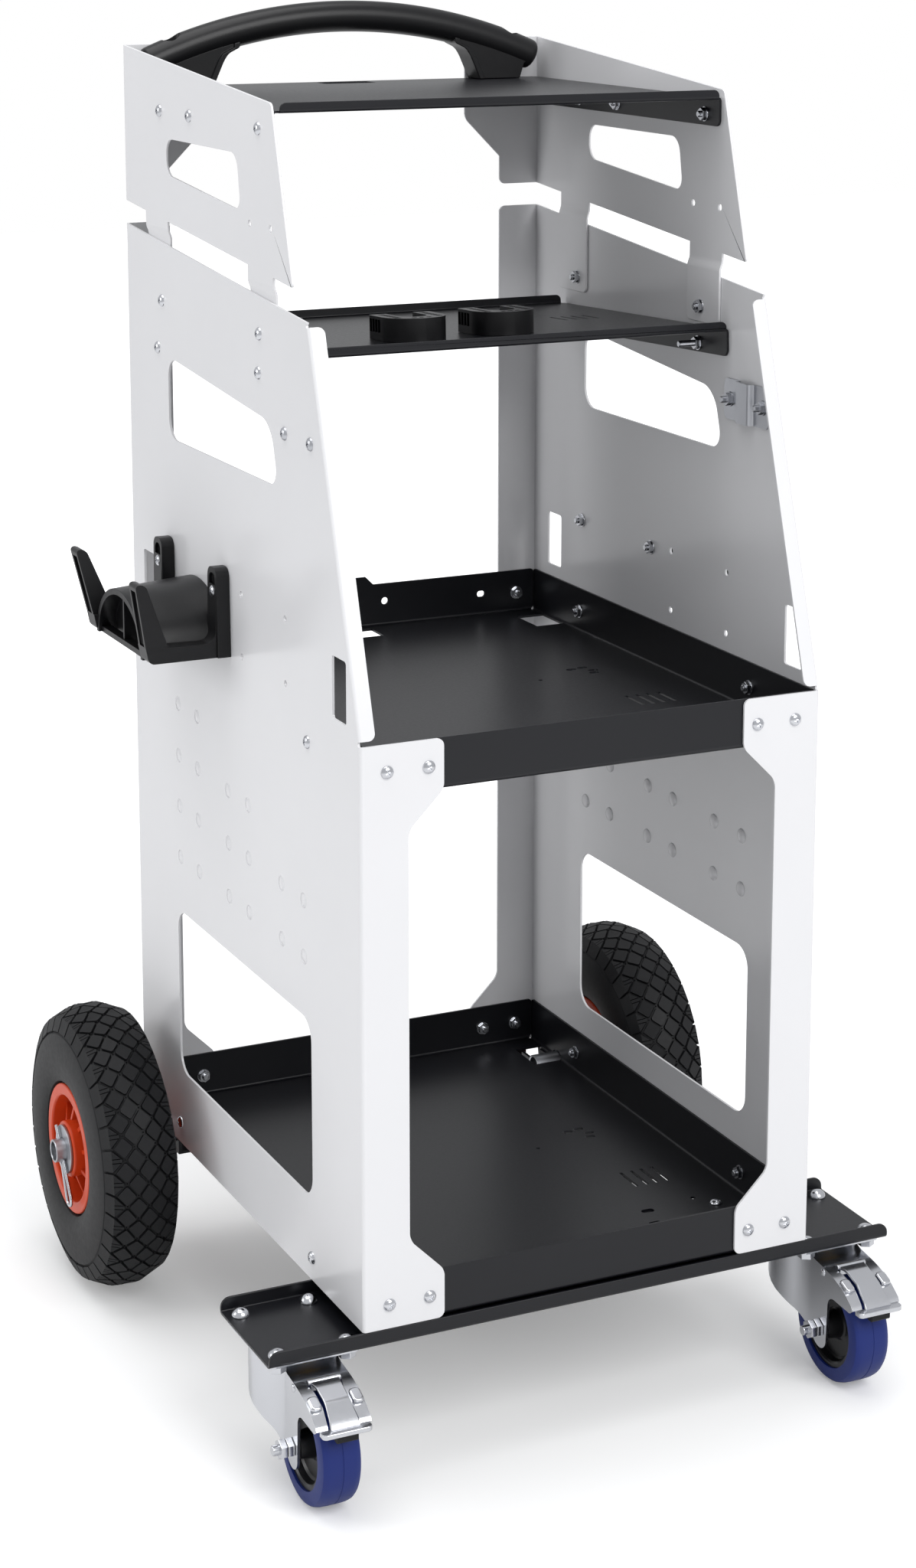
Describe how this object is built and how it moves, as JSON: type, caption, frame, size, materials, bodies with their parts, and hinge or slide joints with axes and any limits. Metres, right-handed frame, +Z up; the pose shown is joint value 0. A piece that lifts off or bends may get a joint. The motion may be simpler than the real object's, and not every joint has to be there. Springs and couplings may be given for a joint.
{
  "type": "charger cart",
  "caption": "Sheet-metal charger cart with trays, a tilted middle shelf, a top shelf with an arched grip and side cable hooks, on pneumatic rear wheels and braked swivel castors.",
  "frame": {"origin": "On the floor under the middle of the cart's bounding box", "axes": "+Z up, -Y the front with the castors and their pedals, +X to the right of a viewer who faces the front"},
  "size_m": [0.6334, 0.653, 1.168],
  "materials": {
    "grey_white_coat": "light grey-white powder coat, satin, fine texture",
    "black_coat": "black-anthracite powder coat, satin, fine texture",
    "black_plastic": "moulded black plastic, matt",
    "zinc_plate": "bright zinc plate",
    "yellow_passivated": "yellow passivated zinc on steel",
    "tyre_rubber": "black rubber",
    "orange_red_rim": "orange-red moulded plastic, semi-gloss",
    "blue_tread": "royal blue elastic rubber"
  },
  "bodies": {
    "cart": {"left_lower_panel": "grey_white_coat", "right_lower_panel": "grey_white_coat", "left_upper_panel": "grey_white_coat", "right_upper_panel": "grey_white_coat", "top_shelf": "black_coat", "middle_shelf": "black_coat", "middle_tray": "black_coat", "lower_tray": "black_coat", "base_channel": "black_coat", "left_axle_bracket": "black_coat", "right_axle_bracket": "black_coat", "left_axle": "zinc_plate", "right_axle": "zinc_plate", "left_spacer": "zinc_plate", "right_spacer": "zinc_plate", "left_washer": "zinc_plate", "right_washer": "zinc_plate", "left_hairpin": "zinc_plate", "right_hairpin": "zinc_plate", "handle_tube": "black_plastic", "left_handle_support": "black_plastic", "right_handle_support": "black_plastic", "left_handle_screw": "zinc_plate", "right_handle_screw": "zinc_plate", "left_cable_hook": "black_plastic", "right_cable_hook": "black_plastic", "left_rest": "black_plastic", "right_rest": "black_plastic", "left_clip_plate": "zinc_plate", "right_clip_plate": "zinc_plate", "left_tray_screw": "zinc_plate", "right_tray_screw": "zinc_plate", "left_tray_sleeve": "zinc_plate", "right_tray_sleeve": "zinc_plate", "left_castor_plate": "zinc_plate", "right_castor_plate": "zinc_plate", "left_castor_race": "yellow_passivated", "right_castor_race": "yellow_passivated"},
    "left_wheel": {"left_wheel_tyre": "tyre_rubber", "left_wheel_rim": "orange_red_rim", "left_wheel_bush": "black_plastic"},
    "right_wheel": {"right_wheel_tyre": "tyre_rubber", "right_wheel_rim": "orange_red_rim", "right_wheel_bush": "black_plastic"},
    "left_castor_swivel": {"left_castor_fork": "zinc_plate", "left_castor_axle_bolt": "zinc_plate"},
    "right_castor_swivel": {"right_castor_fork": "zinc_plate", "right_castor_axle_bolt": "zinc_plate"},
    "left_castor_wheel": {"left_castor_tread": "blue_tread", "left_castor_hub": "black_plastic"},
    "right_castor_wheel": {"right_castor_tread": "blue_tread", "right_castor_hub": "black_plastic"},
    "left_brake_pedal": {"left_castor_pedal": "zinc_plate", "left_castor_pad": "tyre_rubber"},
    "right_brake_pedal": {"right_castor_pedal": "zinc_plate", "right_castor_pad": "tyre_rubber"}
  },
  "joints": [
    {"name": "left_wheel_spin", "type": "hinge", "parent": "cart", "child": "left_wheel", "pos_m": [-0.2687, 0.1965, 0.13], "axis": [1, 0, 0], "continuous": true},
    {"name": "right_wheel_spin", "type": "hinge", "parent": "cart", "child": "right_wheel", "pos_m": [0.2687, 0.1965, 0.13], "axis": [1, 0, 0], "continuous": true},
    {"name": "left_castor_turn", "type": "hinge", "parent": "cart", "child": "left_castor_swivel", "pos_m": [-0.245, -0.212, 0.11], "axis": [0, 0, 1], "continuous": true},
    {"name": "right_castor_turn", "type": "hinge", "parent": "cart", "child": "right_castor_swivel", "pos_m": [0.245, -0.212, 0.11], "axis": [0, 0, 1], "continuous": true},
    {"name": "left_castor_spin", "type": "hinge", "parent": "left_castor_swivel", "child": "left_castor_wheel", "pos_m": [-0.245, -0.2655, 0.05], "axis": [1, 0, 0], "continuous": true},
    {"name": "right_castor_spin", "type": "hinge", "parent": "right_castor_swivel", "child": "right_castor_wheel", "pos_m": [0.245, -0.2655, 0.05], "axis": [1, 0, 0], "continuous": true},
    {"name": "left_brake_tip", "type": "hinge", "parent": "left_castor_swivel", "child": "left_brake_pedal", "pos_m": [-0.245, -0.2695, 0.1022], "axis": [1, 0, 0], "range_deg": [0, 10]},
    {"name": "right_brake_tip", "type": "hinge", "parent": "right_castor_swivel", "child": "right_brake_pedal", "pos_m": [0.245, -0.2695, 0.1022], "axis": [1, 0, 0], "range_deg": [0, 10]}
  ]
}
